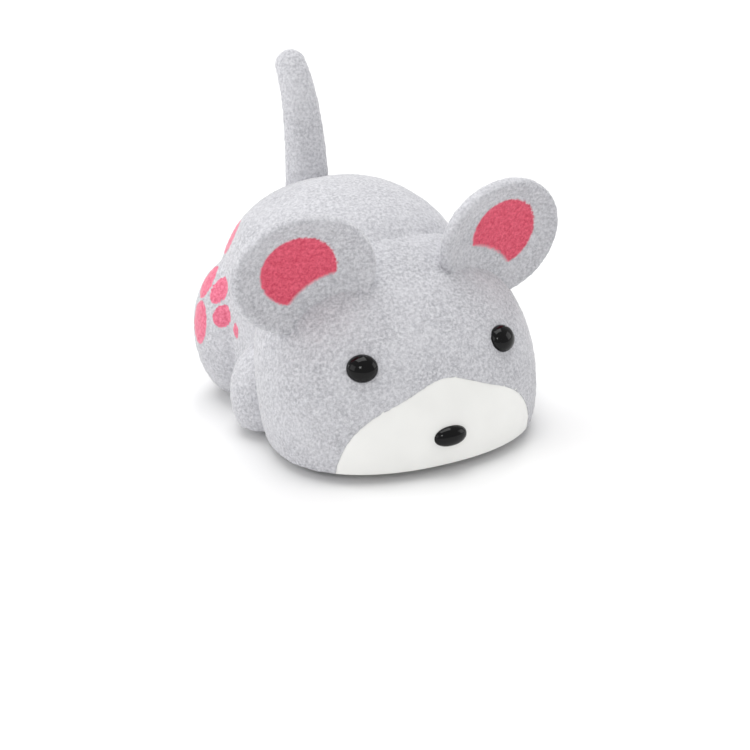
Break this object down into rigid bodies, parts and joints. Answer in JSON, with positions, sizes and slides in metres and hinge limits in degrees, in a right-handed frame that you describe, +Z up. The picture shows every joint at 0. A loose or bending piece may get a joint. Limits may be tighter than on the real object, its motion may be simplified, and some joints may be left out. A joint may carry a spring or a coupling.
{
  "type": "clockwork mouse",
  "caption": "Small flocked toy mouse on wheels with round ears, an upright tail and a pull-back spring motor geared to its rear axle.",
  "frame": {"origin": "on the floor under the middle of the toy's bounding box, where the wheels stand", "axes": "+Z up; the mouse faces -Y and its tail is at +Y; +X is the mouse's left side and the axis of the axles and gears"},
  "size_m": [0.0502, 0.0512, 0.0476],
  "materials": {
    "grey_flock": "moulded ABS, flocked with short pale grey fibre",
    "grey_flock_soft": "soft vinyl, flocked with short pale grey fibre",
    "white_muzzle": "smooth moulded, satin",
    "black_bead": "polished",
    "white_plastic": "moulded, fine texture",
    "plated_steel": "zinc plated",
    "grey_plastic": "moulded, satin",
    "spring_steel": "tempered, oiled",
    "gear_acetal": "moulded, natural",
    "wheel_plastic": "moulded",
    "black_rubber": "moulded, matt"
  },
  "bodies": {
    "mouse": {"body_shell": "grey_flock", "head_shell": "grey_flock", "muzzle": "white_muzzle", "nose": "black_bead", "eye_right": "black_bead", "eye_left": "black_bead", "ear_right": "grey_flock", "ear_left": "grey_flock", "tail": "grey_flock_soft", "chassis": "white_plastic", "chassis_screws": "plated_steel", "motor_case_right": "grey_plastic", "motor_case_left": "grey_plastic", "motor_screws": "plated_steel", "mainspring": "spring_steel", "spring_pin": "plated_steel", "idler_pin": "plated_steel", "clutch_pin": "plated_steel"},
    "rear_axle_set": {"rear_axle": "plated_steel", "axle_pinion": "gear_acetal", "rear_wheel_right": "wheel_plastic", "rear_wheel_left": "wheel_plastic", "rear_tyre_right": "black_rubber", "rear_tyre_left": "black_rubber"},
    "front_axle_set": {"front_axle": "plated_steel", "front_wheel_right": "wheel_plastic", "front_wheel_left": "wheel_plastic"},
    "drive_idler": {"drive_idler": "gear_acetal"},
    "spring_gear": {"spring_gear": "gear_acetal"},
    "clutch_gear": {"clutch_gear": "gear_acetal"}
  },
  "joints": [
    {"name": "rear_axle_spin", "type": "hinge", "parent": "mouse", "child": "rear_axle_set", "pos_m": [0, 0.00885, 0.005], "axis": [1, 0, 0], "continuous": true},
    {"name": "front_axle_spin", "type": "hinge", "parent": "mouse", "child": "front_axle_set", "pos_m": [0, -0.01315, 0.0045], "axis": [1, 0, 0], "continuous": true},
    {"name": "drive_idler_spin", "type": "hinge", "parent": "mouse", "child": "drive_idler", "pos_m": [0, 0.00822, 0.01262], "axis": [1, 0, 0], "continuous": true},
    {"name": "spring_gear_spin", "type": "hinge", "parent": "mouse", "child": "spring_gear", "pos_m": [0, 0.00019, 0.01366], "axis": [1, 0, 0], "continuous": true, "deforming": ["mainspring"]},
    {"name": "clutch_gear_spin", "type": "hinge", "parent": "mouse", "child": "clutch_gear", "pos_m": [0, 0.00336, 0.0062], "axis": [1, 0, 0], "continuous": true}
  ],
  "couplings": [
    {"joint": "drive_idler_spin", "follows": "rear_axle_spin", "ratio": -0.41667},
    {"joint": "spring_gear_spin", "follows": "rear_axle_spin", "ratio": 0.16026},
    {"joint": "clutch_gear_spin", "follows": "rear_axle_spin", "ratio": -0.41667}
  ]
}
